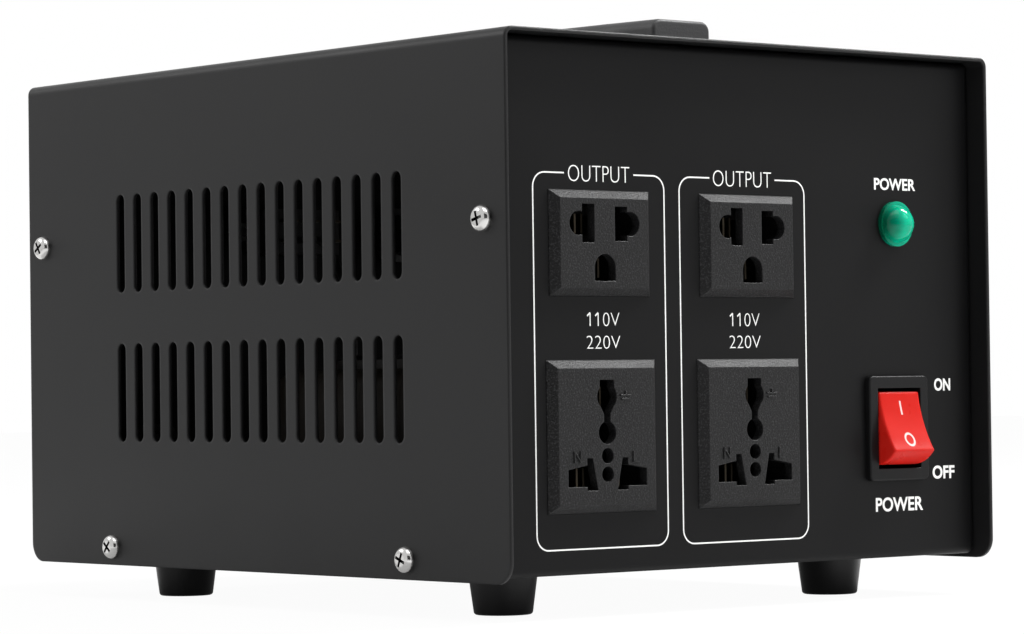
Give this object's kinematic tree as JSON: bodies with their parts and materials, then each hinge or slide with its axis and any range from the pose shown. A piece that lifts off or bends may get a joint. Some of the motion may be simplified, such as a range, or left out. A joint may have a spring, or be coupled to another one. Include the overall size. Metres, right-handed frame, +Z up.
{
  "type": "voltage converter",
  "caption": "Free-standing steel-cased mains voltage converter with vented sides, carry handle, front outlets, indicator lamp and rocker power switch.",
  "frame": {"origin": "on the floor, under the middle of the whole box, between the four feet", "axes": "+Z up; the outlets face -Y and the cord gland faces +Y; +X is to the right seen from the front"},
  "size_m": [0.1802, 0.2358, 0.1593],
  "materials": {
    "cover_paint": "satin",
    "panel_paint": "satin",
    "foot_rubber": "matte",
    "pad_rubber": "matte",
    "bright_steel": "polished",
    "plain_steel": "satin",
    "handle_plastic": "satin",
    "outlet_plastic": "satin",
    "back_plastic": "matte",
    "contact_brass": "satin",
    "lens_green": "gloss",
    "white_plastic": "matte",
    "lamp_glass": "gloss",
    "switch_plastic": "satin",
    "rocker_red": "gloss",
    "fuse_plastic": "gloss",
    "fuse_link_glass": "gloss",
    "selector_plastic": "matte",
    "selector_red": "satin",
    "gland_nylon": "matte",
    "wound_tape": "satin",
    "lead_red": "satin",
    "lead_black": "satin"
  },
  "bodies": {
    "case": {"cable_gland": "gland_nylon", "cable_gland_cap": "gland_nylon", "cable_gland_locknut": "gland_nylon", "carry_handle": "handle_plastic", "combo_outlet_contacts": "contact_brass", "combo_outlet_left_back": "back_plastic", "combo_outlet_left_body": "outlet_plastic", "combo_outlet_right_back": "back_plastic", "combo_outlet_right_body": "outlet_plastic", "cover": "cover_paint", "cover_screws": "bright_steel", "earth_nut": "contact_brass", "earth_stud": "plain_steel", "floor_tray": "panel_paint", "foot_front_left": "foot_rubber", "foot_front_right": "foot_rubber", "foot_nuts": "plain_steel", "foot_rear_left": "foot_rubber", "foot_rear_right": "foot_rubber", "foot_screws": "plain_steel", "front_panel": "panel_paint", "fuse_holder": "fuse_plastic", "fuse_holder_nut": "fuse_plastic", "fuse_terminals": "contact_brass", "handle_screws": "bright_steel", "handle_washers": "plain_steel", "indicator_bulb": "lamp_glass", "indicator_lens": "lens_green", "indicator_nut": "plain_steel", "indicator_pins": "contact_brass", "indicator_plug": "white_plastic", "leads_black": "lead_black", "leads_red": "lead_red", "rear_panel": "panel_paint", "selector_housing": "selector_plastic", "selector_nuts": "plain_steel", "selector_screws": "bright_steel", "selector_terminals": "contact_brass", "switch_housing": "switch_plastic", "switch_terminals": "contact_brass", "terminal_block": "white_plastic", "terminal_block_screws": "plain_steel", "transformer_bolt": "plain_steel", "transformer_dish": "panel_paint", "transformer_lower_pad": "pad_rubber", "transformer_nut": "plain_steel", "transformer_ring": "wound_tape", "transformer_upper_pad": "pad_rubber", "universal_outlet_contacts": "contact_brass", "universal_outlet_left_back": "back_plastic", "universal_outlet_left_body": "outlet_plastic", "universal_outlet_right_back": "back_plastic", "universal_outlet_right_body": "outlet_plastic"},
    "rocker": {"switch_rocker": "rocker_red", "switch_plunger": "white_plastic"},
    "lever": {"switch_lever": "contact_brass"},
    "selector": {"selector_slider": "selector_red"},
    "fuse_link": {"fuse_glass": "fuse_link_glass", "fuse_ferrules": "bright_steel"},
    "fuse_cap": {"fuse_cap": "fuse_plastic"}
  },
  "joints": [
    {"name": "rocker_tilt", "type": "hinge", "parent": "case", "child": "rocker", "pos_m": [0.0555, -0.10995, 0.0468], "axis": [1, 0, 0], "range_deg": [0, 41]},
    {"name": "lever_tilt", "type": "hinge", "parent": "case", "child": "lever", "pos_m": [0.0555, -0.1012, 0.0468], "axis": [1, 0, 0], "range_deg": [-30, 6]},
    {"name": "selector_slide", "type": "slide", "parent": "case", "child": "selector", "axis": [1, 0, 0], "range_m": [0, 0.0093]},
    {"name": "fuse_pull", "type": "slide", "parent": "case", "child": "fuse_link", "axis": [0, 1, 0], "range_m": [0, 0.03]},
    {"name": "fuse_cap_turn", "type": "hinge", "parent": "fuse_link", "child": "fuse_cap", "pos_m": [0.045, 0.10185, 0.108], "axis": [0, 1, 0], "range_deg": [0, 90]}
  ],
  "couplings": [
    {"joint": "lever_tilt", "follows": "rocker_tilt", "ratio": -0.39}
  ]
}
